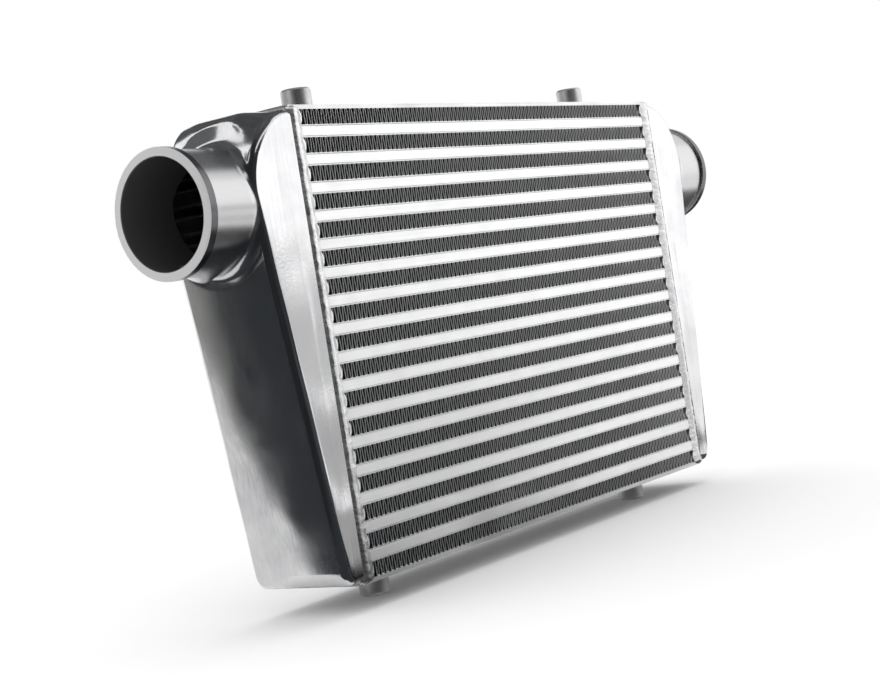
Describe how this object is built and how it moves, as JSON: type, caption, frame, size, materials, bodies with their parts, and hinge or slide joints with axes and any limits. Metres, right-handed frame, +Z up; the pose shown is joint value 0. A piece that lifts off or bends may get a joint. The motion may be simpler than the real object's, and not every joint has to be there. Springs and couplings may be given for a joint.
{
  "type": "intercooler",
  "caption": "Air-to-air intercooler with a brazed bar-and-plate core, cast end tanks with lipped round hose necks, and threaded mounting bosses.",
  "frame": {"origin": "under the middle of the core, level with the ends of the two lower bosses", "axes": "+X along the core's width from the left neck to the right neck, -Y out of the front face, +Z up"},
  "size_m": [0.6094, 0.0812, 0.334],
  "materials": {
    "cast_tank": "cast, blasted and polished",
    "core_bar": "extruded, satin",
    "core_sheet": "rolled, satin",
    "brazed_fin": "folded and brazed, matt",
    "weld_bead": "as welded, rippled",
    "turned_boss": "turned"
  },
  "bodies": {
    "root": {"cooling_fin_01": "brazed_fin", "cooling_fin_02": "brazed_fin", "cooling_fin_03": "brazed_fin", "cooling_fin_04": "brazed_fin", "cooling_fin_05": "brazed_fin", "cooling_fin_06": "brazed_fin", "cooling_fin_07": "brazed_fin", "cooling_fin_08": "brazed_fin", "cooling_fin_09": "brazed_fin", "cooling_fin_10": "brazed_fin", "cooling_fin_11": "brazed_fin", "cooling_fin_12": "brazed_fin", "cooling_fin_13": "brazed_fin", "cooling_fin_14": "brazed_fin", "cooling_fin_15": "brazed_fin", "cooling_fin_16": "brazed_fin", "cooling_fin_17": "brazed_fin", "front_bar_01": "core_bar", "front_bar_02": "core_bar", "front_bar_03": "core_bar", "front_bar_04": "core_bar", "front_bar_05": "core_bar", "front_bar_06": "core_bar", "front_bar_07": "core_bar", "front_bar_08": "core_bar", "front_bar_09": "core_bar", "front_bar_10": "core_bar", "front_bar_11": "core_bar", "front_bar_12": "core_bar", "front_bar_13": "core_bar", "front_bar_14": "core_bar", "front_bar_15": "core_bar", "front_bar_16": "core_bar", "rear_bar_01": "core_bar", "rear_bar_02": "core_bar", "rear_bar_03": "core_bar", "rear_bar_04": "core_bar", "rear_bar_05": "core_bar", "rear_bar_06": "core_bar", "rear_bar_07": "core_bar", "rear_bar_08": "core_bar", "rear_bar_09": "core_bar", "rear_bar_10": "core_bar", "rear_bar_11": "core_bar", "rear_bar_12": "core_bar", "rear_bar_13": "core_bar", "rear_bar_14": "core_bar", "rear_bar_15": "core_bar", "rear_bar_16": "core_bar", "parting_sheets": "core_sheet", "turbulators": "brazed_fin", "closing_bars": "core_bar", "bottom_plate": "core_sheet", "top_plate": "core_sheet", "left_tank": "cast_tank", "right_tank": "cast_tank", "left_weld": "weld_bead", "right_weld": "weld_bead", "top_bosses": "turned_boss", "bottom_bosses": "turned_boss"}
  },
  "joints": []
}
